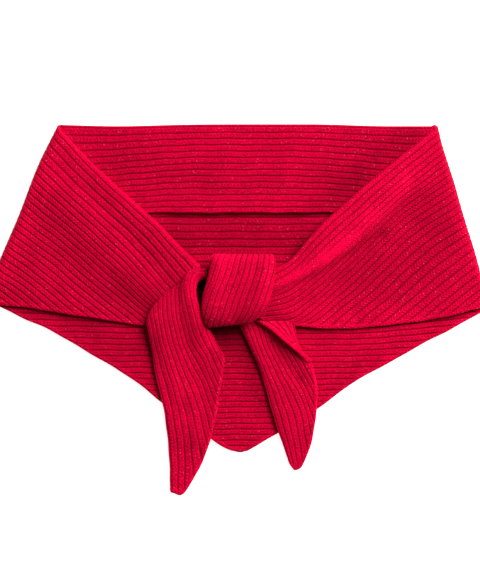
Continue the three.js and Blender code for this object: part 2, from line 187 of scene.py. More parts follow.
# Guide ribs of the left tail, from inside the knot, round the fold, to the slanted end
LEFT_TAIL_STATIONS = (0, 0.1, 0.25, 0.4, 0.56, 0.75, 1)
LEFT_TAIL = (
    (0, (-72.7, -5.5, 8.5), (-75.4, -8.4, 11), (-71.1, -31.9, 8.2), (-66.8, -57.1, 6.6),
     (-60.1, -84, 5), (-56.6, -112.6, 3.4), (-54.4, -152.7, 3.1)),
    (2, (-66.8, 3.8, 9), (-70.3, 1, 12.5), (-65.9, -25, 11), (-58.3, -51.2, 7.8),
     (-50.5, -79, 6.8), (-44.7, -109.7, 4.2), (-44.1, -152.9, 3.1)),
    (4, (-58, 13, 9.5), (-62.2, 9.6, 12.8), (-61, -13.6, 13), (-54.6, -36.8, 9.5),
     (-46, -61.3, 7.4), (-37.2, -88.6, 6.6), (-29.1, -126.8, 3.6)),
    (6, (-50, 19.3, 10), (-54.9, 15, 13.5), (-54.3, -5.1, 14.5), (-49.9, -25.5, 11),
     (-41.9, -46.9, 8), (-31, -70.7, 7), (-21.6, -104.2, 5.5)),
    (8, (-42, 24.8, 11), (-48.1, 20.6, 14.5), (-48.2, 3.1, 15.5), (-45.9, -14.4, 13),
     (-39.8, -32.9, 9.2), (-28.4, -53.5, 7.5), (-17, -82.3, 6.7)),
    (10, (-25.5, 34.4, 15), (-41.4, 30.8, 16.5), (-44.2, 12.4, 17.5), (-40.5, -4.2, 16),
     (-36.5, -21.2, 12.5), (-25.6, -40.5, 9), (-14.3, -66.4, 7)),
    (11, (-24.5, 31.8, 15.5), (-37, 29, 18), (-39, 11.8, 18.8), (-35.2, -4.2, 17.5),
     (-31.8, -18.5, 14), (-23.4, -35.6, 9.6), (-12.8, -58, 7)),
    (12, (-24, 29.2, 15), (-34, 26.2, 17.5), (-35.6, 11.4, 18.2), (-31.4, -2.9, 17.5),
     (-26.9, -16, 14.5), (-20.2, -31.9, 10.2), (-11.6, -50.8, 7.2)),
    (13, (-24, 27.2, 13), (-32.2, 23.4, 15), (-33.6, 10.5, 15.5), (-29, -2.5, 15),
     (-24.1, -15.5, 12.5), (-18.5, -26.9, 9.5), (-10.9, -42.4, 7.4)),
)

# Guide ribs of the right tail, from under the band to the slanted end
RIGHT_TAIL_STATIONS = (0, 0.2, 0.42, 0.7, 1)
RIGHT_TAIL = (
    (0, (0.4, -6.7, 8), (12.2, -33.6, 6.8), (21.8, -56.3, 6.6), (32.8, -93.2, 4.8), (45.4, -131.9, 3.1)),
    (1, (5.5, -6.7, 8.4), (16.4, -35.3, 7.8), (25.2, -57.1, 7.2), (37.4, -93.2, 5), (47.9, -134, 3.1)),
    (3, (14.3, -6.7, 7.2), (23.4, -32.8, 7), (34, -57.1, 6.8), (48.4, -90.7, 6), (54.8, -129.8, 3.4)),
    (5, (22.7, -6.7, 6.4), (30.7, -31.9, 6.5), (41.2, -52.9, 6.6), (55.4, -78.5, 6.7), (62.9, -108, 5.4)),
    (7, (28.6, -6.7, 6.2), (36.5, -26.9, 6.2), (44.9, -44.1, 6.2), (54.6, -60.9, 6.8), (65.9, -83.2, 6.8)),
    (9, (37.8, -10.9, 6.2), (42.4, -23.5, 6.2), (50.8, -38.6, 6.9), (58.8, -52.5, 8), (66.5, -68, 7.6)),
    (10, (42.8, -18.5, 6.2), (47, -27.7, 6.6), (53.8, -36.5, 8.4), (60.5, -43.7, 9), (65.9, -58, 8)),
)

# Guide ribs of the right tail's upper corner, which turns back on itself
TURNBACK_STATIONS = (0, 0.25, 0.5, 0.75, 1)
TURNBACK = (
    (0, (17, -9.5, 11), (28, -16, 12), (38, -24.5, 12.2), (48, -33, 11.2), (60.3, -44.5, 9.2)),
    (2, (31, -9.5, 10.4), (38, -15.5, 11.4), (44, -23.5, 12), (51, -32.4, 11.2), (61.1, -44.2, 9.2)),
    (4, (46, -9, 9.2), (47.6, -16, 9.6), (49.2, -24.5, 10), (54, -33.6, 10), (61.9, -43.9, 9)),
)

# Soft creases: half width, height (a trough is below 0) and the line's points
CREASES = {
    "neck_turnover": (
        (14, 0.7, ((-60, 122), (0, 118), (60, 120))),
        (8, -0.6, ((-30, 97), (40, 95), (100, 103))),
    ),
    "back_panel": (
        (12, 0.7, ((-60, -25), (-20, -52), (10, -66))),
        (10, 0.6, ((70, -62), (110, -40), (150, -15))),
        (9, -0.5, ((-140, -12), (-90, -38))),
        (7, 0.8, ((-100, 62), (0, 58), (60, 60))),
    ),
    "left_front": (
        (14, 1.2, ((-165, 105), (-130, 70), (-105, 30))),
        (8, -1.2, ((-125, 98), (-90, 62), (-60, 25))),
        (9, -1.6, ((-110, 30), (-90, 8), (-72, -4))),
        (8, 0.8, ((-200, 25), (-150, 5), (-100, -8))),
    ),
    "right_front": (
        (6, 1.6, ((137, 103), (116, 78), (85, 51), (63, 35.5), (47, 26), (31, 18))),
        (3.6, -1.9, ((120, 62), (91, 42.5), (75, 33.5), (63, 26), (42, 17), (30, 12))),
        (8, -0.8, ((120, 108), (80, 72), (45, 40))),
        (12, 0.9, ((185, 75), (150, 40), (110, 5))),
        (6, 0.8, ((90, 5), (60, -4), (34, -4))),
    ),
    "left_tail": (
        (5, 0.7, ((-66, -10), (-60, -40), (-50, -75))),
        (5, -0.5, ((-50, 12), (-47, -15), (-36, -50), (-26, -80))),
        (4, 0.6, ((-40, -70), (-34, -100), (-38, -135))),
    ),
    "right_tail": (
        (5, -1.2, ((30, -28), (40, -42), (50, -60))),
        (4, 0.6, ((22, -45), (36, -80), (46, -110))),
    ),
    "knot_band": (
        (6, -1.9, ((17, 44), (13, 26), (6, 8), (-2, -8))),
        (5, 0.8, ((-14, 40), (-16, 22), (-20, 4))),
    ),
}

# Painted light and shade, as soft differences of tone: painted shade in hollows and where shadows fall, a
# painted black hole in the knot, and painted light on folds, bulges and shadowed parts: half width, share
# lighter (darker is below 0) and the line's points
PAINTED_LIGHT_AND_SHADE = {
    "scarf_back_panel": (
        # painted black hole, where the knot leaves a deep gap over the panel
        (8, -0.98, ((-29.5, 17), (-29.5, 22))),
        (17, -0.34, ((-60, 60), (0, 62), (60, 60))),
        (24, -0.62, ((-20, -16), (10, -16))),
        (10, -0.3, ((8, -40), (20, -75))),
        (20, -0.14, ((-130, -18), (-85, -35))),
    ),
    "scarf_neck_turnover": (
        (60, -0.07, ((-120, 115), (120, 115))),
        (24, -0.2, ((90, 105), (120, 135), (150, 148))),
        (12, -0.2, ((60, 76), (86, 98), (118, 124), (146, 144))),
        (14, -0.12, ((-115, 145), (-90, 120))),
    ),
    "scarf_left_front": (
        (12, 0.2, ((-200, 30), (-182, 75), (-160, 125))),
        (15, -0.22, ((-100, 14), (-82, 0), (-68, -2))),
        (6, 0.16, ((-150, 152), (-110, 112), (-70, 74), (-32, 36))),
    ),
    "scarf_right_front": (
        (9, 0.28, ((112, 75), (85, 51), (63, 35), (47, 25), (31, 17))),
        (8, 0.16, ((150, 118), (112, 75))),
        (3.6, -0.14, ((122, 62), (92, 41.5), (76, 32), (63, 24.5), (42, 16), (30, 11))),
        (12, 0.2, ((45, -6), (90, -8), (150, -4))),
        (30, -0.18, ((170, 75), (150, 45), (125, 30))),
        (6, 0.14, ((165, 152), (120, 113), (70, 68), (34, 36))),
        (8, 0.12, ((190, 65), (206, 20))),
    ),
    "scarf_knot_band": (
        (12, 0.4, ((-12, 40), (-16, 22), (-20, 6))),
        (6, 0.24, ((27, 42), (26, 24), (23, 8))),
    ),
    "scarf_knot_strand": (
        (14, 0.7, ((-28, 12), (-28, -4))),
    ),
    "scarf_left_tail": (
        (6, 0.42, ((-38, 27), (-40, 12), (-34, -6), (-24, -28))),
        (24, 0.16, ((-60, -10), (-52, -50))),
        (20, 0.2, ((-44, -90), (-40, -140))),
    ),
    "scarf_right_tail": (
        (10, -0.08, ((30, -24), (44, -44))),
        (12, 0.14, ((60, -70), (52, -120))),
        (3.5, 0.4, ((59, -42), (64, -51), (66, -64))),
    ),
    "scarf_right_tail_turnback": (
        (4.5, 0.75, ((26, -16), (42, -28), (58, -41))),
        (7, 0.12, ((40, -16), (48, -28))),
    ),
}

# Places where the knit is stretched and its ribs lie nearly flat: half width, share and line
PULLED_FLAT = {
    "scarf_right_front": (
        (7, 0.95, ((100, 62), (85, 49.5), (68.4, 39), (50, 27.5), (34, 17.5))),
    ),
    "scarf_left_front": (
        (4, 0.5, ((-150, 153), (-110, 113), (-70, 75), (-32, 37))),
    ),
    "scarf_knot_band": (
        (7, 0.6, ((-14, 44), (-17, 30), (-21, 12), (-22, 0))),
    ),
    "scarf_right_tail_turnback": (
        (4, 0.6, ((22, -13), (42, -28), (58, -40))),
    ),
}


# Curves and grids


def smooth(knots, values, at):
    """A smooth curve through values at rising knots, read at each place in at."""
    knots = np.asarray(knots, float)
    values = np.asarray(values, float)
    at = np.clip(np.asarray(at, float), knots[0], knots[-1])
    k = np.clip(np.searchsorted(knots, at) - 1, 0, len(knots) - 2)
    order = np.arange(len(knots))
    before = np.maximum(order - 1, 0)
    after = np.minimum(order + 1, len(knots) - 1)
    tail = (1,) * (values.ndim - 1)
    span = (knots[after] - knots[before]).reshape((-1,) + tail)
    slopes = (values[after] - values[before]) / span
    step = (knots[k + 1] - knots[k]).reshape(at.shape + tail)
    s = ((at - knots[k]) / (knots[k + 1] - knots[k])).reshape(at.shape + tail)
    return (
        (1 + 2 * s) * (1 - s) ** 2 * values[k]
        + s * (1 - s) ** 2 * step * slopes[k]
        + s * s * (3 - 2 * s) * values[k + 1]
        + s * s * (s - 1) * step * slopes[k + 1]
    )


def ramp(start, end, value):
    t = np.clip((value - start) / (end - start), 0, 1)
    return t * t * (3 - 2 * t)


def unit(vectors):
    return vectors / np.maximum(np.linalg.norm(vectors, axis=-1, keepdims=True), 1e-9)


def column(table, index, at):
    """The chosen column of a table of guide rows, read at each place in at."""
    return smooth([row[0] for row in table], [row[index] for row in table], at)


def laid_on_guides(table, stations, ribs, along):
    """Points of a stretch, a row for each rib and a column for each way along."""
    guides = [column(table, 1 + k, ribs) for k in range(len(stations))]
    return smooth(stations, np.stack(guides), along).transpose(1, 0, 2)


def rib_rows(first, last):
    """Rib numbers from first to last, closer together beside the grooves."""
    every = [n + step for n in range(math.floor(first), math.ceil(last) + 1) for step in RIB_STEPS]
    inside = [r for r in every if first + 0.02 < r < last - 0.02]
    return np.array([first, *inside, last])


def ways(length, step, rounded=(True, True)):
    """Ways along from 0 to 1, a step apart and closer together at rounded ends."""
    close = np.array(EDGE_STEPS) / length
    start = close if rounded[0] else close[:0]
    end = 1 - close[::-1] if rounded[1] else close[:0]
    middle = np.linspace(0, 1, max(4, round(length / step)))[1:-1]
    middle = middle[(middle > 3 / length) & (middle < 1 - 3 / length)]
    return np.concatenate([[0], start, middle, end, [1]])


def distance_to_line(x, y, line):
    """Distance from each place to a line of straight runs."""
    nearest = np.full(x.shape, np.inf)
    for (x0, y0), (x1, y1) in zip(line, line[1:]):
        run_x, run_y = x1 - x0, y1 - y0
        t = np.clip(((x - x0) * run_x + (y - y0) * run_y) / (run_x**2 + run_y**2), 0, 1)
        nearest = np.minimum(nearest, np.hypot(x - x0 - t * run_x, y - y0 - t * run_y))
    return nearest


def nearness(points, width, line):
    """How near each point is to a line seen from above: 1 on it, fading over the width."""
    return np.exp(-((distance_to_line(points[..., 0], points[..., 1], line) / width) ** 2))


def creased(points, name):
    """The points raised or lowered along the soft creases of the named stretch."""
    for width, height, line in CREASES.get(name, ()):
        points[..., 2] += height * nearness(points, width, line)
    return points


def painted_light_tone(points, name):
    """How much light or shade is painted on the knit at each point of the named piece, where 1 is its plain
    tone.
    """
    tone = np.ones(points.shape[:2])
    for width, share, line in PAINTED_LIGHT_AND_SHADE.get(name, ()):
        tone *= 1 + share * nearness(points, width, line)
    return tone


def pulled_flat(points, name):
    """How flat the ribs are pulled at each point of the named piece, from 0 to 1."""
    pulled = np.zeros(points.shape[:2])
    for width, share, line in PULLED_FLAT.get(name, ()):
        pulled = np.maximum(pulled, share * nearness(points, width, line))
    return pulled


def uneven(points, seed, amount):
    """Slow, shallow waves of a knit that doesn't lie quite flat, and its straying ribs."""
    x, y = points[..., 0].copy(), points[..., 1].copy()
    highest = 2.8
    wave = (
        np.sin(x / 19 + 1.3 * seed + 0.6 * np.sin(y / 23))
        + 0.8 * np.sin(y / 15 + 2.1 * seed + 0.7 * np.sin(x / 31))
        + 0.6 * np.sin((x + y) / 11 + 0.7 * seed)
        + 0.4 * np.sin((x - 0.7 * y) / 6.5 + 1.9 * seed)
    )
    points[..., 2] += amount * wave / highest
    points[..., 0] += WANDER * np.sin(y / 3.7 + seed) + WANDER * np.sin(y / 9.1 + x / 17)
    points[..., 1] += WANDER * np.sin(x / 4.3 + 1.7 * seed) + WANDER * np.sin(x / 10.3 - y / 15)
    return points


class Stretch:
    """A grid of points with its rib numbers, ways along its ribs and distances from raw edges."""

    def __init__(self, points, ribs, flip, raw=()):
        self.points = points
        rows, columns = points.shape[:2]
        self.ribs = ribs if ribs.ndim == 2 else np.repeat(ribs[:, None], columns, axis=1)
        steps = np.linalg.norm(np.diff(points, axis=1), axis=2)
        self.way = np.concatenate([np.zeros((rows, 1)), steps.cumsum(axis=1)], axis=1)
        self.way += self.course_shift()[:, None]
        self.flip = flip
        self.rim = self.rim_distance(raw)

    def course_shift(self):
        """How far each rib's start lies along its neighbours, so that courses line up."""
        middle = self.points.shape[1] // 2
        here = self.points[:, middle]
        direction = unit(self.points[:, middle + 1] - here)
        steps = (np.diff(here, axis=0) * direction[1:]).sum(axis=1)
        start = self.way[:, middle]
        return np.concatenate([[0], steps.cumsum()]) - (start - start[0])

    def rim_distance(self, raw):
        """Distance of each point from the raw ends of its rib."""
        rim = np.full(self.way.shape, 2 * RIM_WIDTH)
        for side in raw:
            last, inner = (-1, -2) if side == "end" else (0, 1)
            edge = self.points[:, last]
            along_rib = unit(edge - self.points[:, inner])
            along_edge = unit(np.gradient(edge, axis=0))
            slant = np.linalg.norm(np.cross(along_rib, along_edge), axis=1)
            from_end = np.abs(self.way - self.way[:, [last]]) * slant[:, None]
            rim = np.minimum(rim, from_end)
        return rim

    def upward(self):
        """Directions square to the cloth, away from its lower side."""
        down = np.gradient(self.points, axis=0)
        across = np.gradient(self.points, axis=1)
        return unit(np.cross(down, across)) * (-1 if self.flip else 1)

    def roll(self, side, radius, degrees, steps=6):
        """Curls the cloth down and under past one side: start, end, low or high."""
        axis = 1 if side in ("start", "end") else 0
        last = -1 if side in ("end", "high") else 0
        inner = -2 if last else 1
        up = np.take(self.upward(), [last], axis=axis)
        edge = np.take(self.points, [last], axis=axis)
        out = unit(edge - np.take(self.points, [inner], axis=axis))
        turn = np.radians(np.linspace(0, degrees, steps + 1)[1:])
        turn = turn[None, :, None] if axis == 1 else turn[:, None, None]
        curl = edge + radius * (out * np.sin(turn) - up * (1 - np.cos(turn)))
        length = radius * turn[..., 0] * (1 if last else -1)
        none = 0 * length
        along, across = (length, none) if axis == 1 else (none, length / RIB_PITCH)
        extra = {
            "points": curl,
            "way": np.take(self.way, [last], axis=axis) + along,
            "ribs": np.take(self.ribs, [last], axis=axis) + across,
            "rim": np.take(self.rim, [last], axis=axis) + none,
        }
        for name, more in extra.items():
            now = getattr(self, name)
            parts = [now, more] if last else [np.flip(more, axis), now]
            setattr(self, name, np.concatenate(parts, axis=axis))
        return self


# Settings


def linear(hex_value):
    """Linear RGBA of an sRGB hex value."""
    parts = [int(hex_value.lstrip("#")[i : i + 2], 16) / 255 for i in (0, 2, 4)]
    return (*[c / 12.92 if c <= 0.04045 else ((c + 0.055) / 1.055) ** 2.4 for c in parts], 1.0)


class ScarfKnit(bpy.types.PropertyGroup):
    rib_depth: bpy.props.FloatProperty(
        name="Rib depth",
        description="Depth of the grooves between ribs",
        default=0.00056,
        min=0,
        max=0.0025,
        precision=5, subtype="DISTANCE", unit="LENGTH",
    )
    course: bpy.props.FloatProperty(
        name="Course",
        description="Height of one row of stitches",
        default=0.00273,
        min=0.001,
        max=0.006,
        precision=5, subtype="DISTANCE", unit="LENGTH",
    )
    along_step: bpy.props.FloatProperty(
        name="Step along ribs",
        description="Distance between mesh points along a rib",
        default=0.0024,
        min=0.0005,
        max=0.01,
        precision=5, subtype="DISTANCE", unit="LENGTH",
    )


class ScarfColours(bpy.types.PropertyGroup):
    yarn: bpy.props.FloatVectorProperty(
        name="Yarn",
        description="Colour of the yarn",
        default=linear("#CC0234"),
        size=4, min=0, max=1, subtype="COLOR",
    )
    # Painted shade: the colour painted deep in the grooves and between stitches
    groove: bpy.props.FloatVectorProperty(
        name="Groove",
        description="Colour deep between the ribs",
        default=linear("#900018"),
        size=4, min=0, max=1, subtype="COLOR",
    )
    # Painted glints: the pale pink painted where the metallic thread glints
    thread: bpy.props.FloatVectorProperty(
        name="Metallic thread",
        description="Colour of the glints of metallic thread",
        default=linear("#F0607C"),
        size=4, min=0, max=1, subtype="COLOR",
    )
    floor: bpy.props.FloatVectorProperty(
        name="Floor",
        description="Colour of the surface",
        default=linear("#FAFAFA"),
        size=4, min=0, max=1, subtype="COLOR",
    )


def knit_size(name):
    """A size of the knit, in millimetres."""
    return 1000 * getattr(bpy.context.scene.scarf_knit, name)


def colour(name):
    return tuple(getattr(bpy.context.scene.scarf_colours, name))


# Materials


def add_node(tree, kind, settings=None, **inputs):
    """Adds a node with its settings, its input values and its links."""
    node = tree.nodes.new(kind)
    for name, value in (settings or {}).items():
        setattr(node, name, value)
    for name, value in inputs.items():
        key = int(name[1:]) if name[0] == "i" and name[1:].isdigit() else name.replace("_", " ")
        if isinstance(value, bpy.types.NodeSocket):
            tree.links.new(value, node.inputs[key])
        else:
            node.inputs[key].default_value = value
    return node


def maths(tree, operation, a, b=0.0, c=0.0):
    return add_node(tree, "ShaderNodeMath", {"operation": operation}, i0=a, i1=b, i2=c).outputs[0]


def mapped(tree, value, low, high, to_low, to_high):
    """A value mapped smoothly from one range to another."""
    settings = {"interpolation_type": "SMOOTHSTEP"}
    return add_node(
        tree, "ShaderNodeMapRange", settings, i0=value, i1=low, i2=high, i3=to_low, i4=to_high
    ).outputs[0]


def blend(tree, share, first, second):
    """The mix of two colours."""
    mix = add_node(tree, "ShaderNodeMix", {"data_type": "RGBA"}, i0=share, i6=first, i7=second)
    return mix.outputs[2]


def map_parts(tree, name):
    """The two parts of a UV map."""
    place = add_node(tree, "ShaderNodeUVMap", {"uv_map": name})
    parts = add_node(tree, "ShaderNodeSeparateXYZ", i0=place.outputs[0])
    return parts.outputs[0], parts.outputs[1]


def stitch_relief(tree, rib, course, wobble):
    """Way from the middle of a rib to its groove, each yarn's swell and the relief of its Vs."""
    centred = maths(tree, "SUBTRACT", maths(tree, "FRACT", rib), 0.5)
    away = maths(tree, "MULTIPLY", maths(tree, "ABSOLUTE", centred), 2.0)
    climb = maths(tree, "MULTIPLY_ADD", away, 0.85, maths(tree, "MULTIPLY_ADD", wobble, 0.9, course))
    swing = maths(tree, "MULTIPLY_ADD", maths(tree, "FRACT", climb), 2.0, -1.0)
    yarn = maths(tree, "SQRT", maths(tree, "SUBTRACT", 1.0, maths(tree, "MULTIPLY", swing, swing)))
    middle = mapped(tree, away, 0.0, 0.22, 0.6, 1.0)
    shoulder = mapped(tree, away, 0.55, 1.0, 1.0, 0.2)
    return away, yarn, maths(tree, "MULTIPLY", maths(tree, "MULTIPLY", yarn, middle), shoulder)


def knit_material():
    """Wool-blend 1x1 rib knit: matt, soft-edged, with a sparse metallic thread; its glints, the shade in its
    grooves and the pieces' light and shade are painted.
    """
    material = bpy.data.materials.new("Wool blend rib knit, red")
    material.use_nodes = True
    tree = material.node_tree
    tree.nodes.clear()
    rib, course = map_parts(tree, "Knit")
    rim, light = map_parts(tree, "RimAndPaintedLight")
    spot = add_node(tree, "ShaderNodeTexCoord").outputs["Object"]
    pull = add_node(tree, "ShaderNodeTexNoise", Vector=spot, Scale=420.0, Detail=2.0)
    away, yarn, stitch = stitch_relief(tree, rib, course, pull.outputs["Fac"])

    # Fibres a fraction of a millimetre long stand up from the yarn
    fibres = add_node(tree, "ShaderNodeTexNoise", Vector=spot, Scale=1050.0, Detail=3.0, Roughness=0.75)
    height = maths(tree, "MULTIPLY_ADD", fibres.outputs["Fac"], 1.1, stitch)
    bump = add_node(tree, "ShaderNodeBump", Strength=1.0, Distance=0.0005, Height=height)

    # Painted shade deep in the grooves and between stitches, on top of the shade of the mesh's own grooves,
    # but not on a rim or where pulled flat
    away_from_rim = mapped(tree, rim, 0.05, 0.45, 0.15, 1.0)
    dots = maths(tree, "MULTIPLY_ADD", yarn, -0.6, 1.35)
    ragged = maths(tree, "MULTIPLY_ADD", fibres.outputs["Fac"], 0.7, maths(tree, "SUBTRACT", away, 0.35))
    depth = maths(tree, "MULTIPLY", mapped(tree, ragged, 0.68, 0.98, 0.0, 1.0), dots)
    gap = mapped(tree, stitch, 0.0, 0.5, 0.45, 0.0)
    painted_groove_shade = maths(tree, "MULTIPLY", maths(tree, "MAXIMUM", depth, gap), away_from_rim)
    base = blend(tree, painted_groove_shade, colour("yarn"), colour("groove"))

    # Slow drifts of the dye, a speckle of lighter fibres, and rims a little lighter
    drift = add_node(tree, "ShaderNodeTexNoise", Vector=spot, Scale=45.0, Detail=3.0, Roughness=0.65)
    tone = mapped(tree, drift.outputs["Fac"], 0.3, 0.7, 0.9, 1.08)
    speckle = mapped(tree, fibres.outputs["Fac"], 0.36, 0.66, 0.55, 1.38)
    lighter_at_rims = mapped(tree, rim, 0.15, 0.55, 1.14, 1.0)
    value = maths(tree, "MULTIPLY", tone, speckle)
    # light is painted light and shade: hollows and shadows painted darker, folds and bulges painted lighter
    value = maths(tree, "MULTIPLY", value, maths(tree, "MULTIPLY", light, lighter_at_rims))
    painted_light_tone = add_node(tree, "ShaderNodeHueSaturation", Value=value, Color=base).outputs[0]

    # Painted glints: the metallic thread is real, and its glints are painted in as pale pink colour on a few
    # cells of a fine pattern
    cells = add_node(tree, "ShaderNodeTexVoronoi", Vector=spot, Scale=800.0)
    chance = add_node(tree, "ShaderNodeSeparateColor", i0=cells.outputs["Color"]).outputs[0]
    near = mapped(tree, cells.outputs["Distance"], 0.1, 0.36, 0.8, 0.0)
    painted_glint = maths(tree, "MULTIPLY", maths(tree, "GREATER_THAN", chance, 0.95), near)
    painted_glint = maths(tree, "MULTIPLY", painted_glint, maths(tree, "LESS_THAN", away, 0.7))
    with_painted_glints = blend(tree, painted_glint, painted_light_tone, colour("thread"))

    shader = add_node(
        tree,
        "ShaderNodeBsdfPrincipled",
        Base_Color=with_painted_glints,
        Roughness=0.85,
        Normal=bump.outputs[0],
        Sheen_Weight=0.05,
        Sheen_Roughness=0.5,
        Sheen_Tint=linear("#FF3050"),
        Specular_Tint=linear("#FF4060"),
    )
    shader.inputs["Specular IOR Level"].default_value = 0.12
    add_node(tree, "ShaderNodeOutputMaterial", Surface=shader.outputs[0])
    return material


def floor_material():
    """White acrylic sheet, faintly lit from below."""
    material = bpy.data.materials.new("White acrylic, lit from below")
    material.use_nodes = True
    shader = material.node_tree.nodes["Principled BSDF"]
    shader.inputs["Base Color"].default_value = colour("floor")
    shader.inputs["Roughness"].default_value = 0.9
    shader.inputs["Specular IOR Level"].default_value = 0.1
    shader.inputs["Emission Color"].default_value = (1.0, 1.0, 1.0, 1.0)
    shader.inputs["Emission Strength"].default_value = 0.85
    return material


def shared_knit():
    """The knit that all the pieces share, made once."""
    return bpy.data.materials.get("Wool blend rib knit, red") or knit_material()


# Meshes


def ribbed(stretch, seed, standing):
    """The upper points, grooved as far as the ribs stand up, with a bead along each raw edge."""
    part = stretch.ribs - np.floor(stretch.ribs)
    crest = (1 - np.abs(2 * part - 1) ** CREST_FLATNESS) ** GROOVE_SOFTNESS
    number = np.floor(stretch.ribs)
    fullness = 1 + 0.15 * np.sin(number * 12.9898 + seed + 0.03 * stretch.way)
    groove = knit_size("rib_depth") * fullness * (1 - crest) * standing
    groove *= ramp(0.3, RIM_WIDTH, stretch.rim)
    bead = RIM_RISE * np.exp(-(((stretch.rim - BEAD_PLACE) / BEAD_WIDTH) ** 2))
    return stretch.points + stretch.upward() * (bead - groove)[..., None]


def lay_grid(bm, points):
    """Adds a bmesh grid and lays it on an array of points."""
    rows, columns = points.shape[:2]
    made = bmesh.ops.create_grid(bm, x_segments=columns - 1, y_segments=rows - 1, size=1)["verts"]
    for vertex, point in zip(made, ((points + SHIFT) / 1000).reshape(-1, 3)):
        vertex.co = point


def chosen_points(shape):
    """Rows and columns of the fine upper side that the plain lower side keeps."""
    rows = np.unique(np.round(np.linspace(0, shape[0] - 1, max(4, shape[0] // 5))).astype(int))
    columns = np.unique(np.round(np.linspace(0, shape[1] - 1, max(4, shape[1] // 2))).astype(int))
    return np.ix_(rows, columns)


def underside(stretch, chosen, thickness, flat_under):
    """The plain lower side: flat at a height, or else drawn in at its borders."""
    if flat_under is not None:
        lower = stretch.points[chosen].copy()
        lower[..., 2] = flat_under
        return lower
    upward = stretch.upward()
    lower = (stretch.points - upward * thickness)[chosen]
    rim = (stretch.points - upward * thickness * RIM_DRAWN_IN)[chosen]
    for edge in (np.s_[0, :], np.s_[-1, :], np.s_[:, 0], np.s_[:, -1]):
        lower[edge] = rim[edge]
    return lower


def keep_above(stretch, height):
    """Keeps the rolled rims of a stretch from dipping into the table."""
    stretch.points[..., 2] = np.maximum(stretch.points[..., 2], height)


def shell(name, stretch, seed, flat_under=None, thickness=SHELL):
    """A closed shell: fine ribbed upper side, plain lower side, bridged all round."""
    standing = 1 - pulled_flat(stretch.points, name)
    upper = ribbed(stretch, seed, standing)
    chosen = chosen_points(upper.shape)
    bm = bmesh.new()
    lay_grid(bm, upper)
    top_rim = [e for e in bm.edges if e.is_boundary]
    known = set(bm.verts)
    lay_grid(bm, underside(stretch, chosen, thickness, flat_under))
    low_rim = [e for e in bm.edges if e.is_boundary and e.verts[0] not in known]
    bmesh.ops.bridge_loops(bm, edges=top_rim + low_rim)
    bmesh.ops.recalc_face_normals(bm, faces=bm.faces)
    for face in bm.faces:
        face.smooth = True
    mesh = bpy.data.meshes.new(name)
    bm.to_mesh(mesh)
    bm.free()
    knit = np.stack([stretch.ribs, stretch.way / knit_size("course")], axis=-1)
    rim = np.minimum(stretch.rim / (2 * RIM_WIDTH), 1) * standing
    # The second map holds the rim share and the painted light and shade of the piece
    rim_and_painted_light = np.stack([rim, painted_light_tone(stretch.points, name)], axis=-1)
    for title, places in (("Knit", knit), ("RimAndPaintedLight", rim_and_painted_light)):
        write_places(mesh, title, np.concatenate([places.reshape(-1, 2), places[chosen].reshape(-1, 2)]))
    mesh.materials.append(shared_knit())
    piece = bpy.data.objects.new(name, mesh)
    bpy.context.scene.collection.objects.link(piece)
    return piece


def write_places(mesh, title, places):
    """Writes two numbers for each point as a UV map."""
    layer = mesh.uv_layers.new(name=title)
    corner = np.zeros(len(mesh.loops), np.int32)
    mesh.loops.foreach_get("vertex_index", corner)
    layer.data.foreach_set("uv", places[corner].astype(np.float32).ravel())


def finish_piece(piece, node):
    """Binds a piece to the frame and hides the model's part that it stands for."""
    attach(piece, "root")
    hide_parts(node)


# The back panel and the turned-in long edge


def inside_fold(side, y):
    """Where the layers inside a side fold stop, at each height on the panel."""
    table = sorted(((row[1][1], row[1][0], row[1][2]) for row in FRONTS[side]))
    x = column(table, 1, y)
    radius = column(table, 2, y) / 2
    return x - (radius + 0.4) / FOLD_OUT[side][0]


def panel_ends(y):
    """Left and right ends of the back panel at each height."""
    rows = CUT_EDGE[::-1]
    left, right = (column(rows, k, y) for k in (1, 2))
    slack = np.where(y > 8, PANEL_SLACK, 0)
    left = np.maximum(left - slack, inside_fold("left", y))
    return left, np.minimum(right + slack, inside_fold("right", y))


def panel_rest(x, y):
    """Height that the back panel gives to what lies over it."""
    left, right = panel_ends(np.maximum(y, PANEL_TIP_Y))
    sideways = np.maximum(np.maximum(left - x, x - right), 0)
    outside = sideways * EDGE_SLANT + np.maximum(PANEL_TIP_Y - y, 0)
    return np.where(y > 0, PANEL_REST, PANEL_REST * (1 - ramp(0, TAIL_DROP, outside)))


def rib_bend(x, y):
    """How far the panel's ribs rise towards its sides."""
    middle = np.sin(np.pi * np.clip((y + 119) / 240, 0, 1))
    sweep = RIB_SWEEP * ramp(100, 205, x) * ramp(-62, -20, y)
    return RIB_BOW * middle * ((x - MIDDLE_X) / 200) ** 2 + sweep


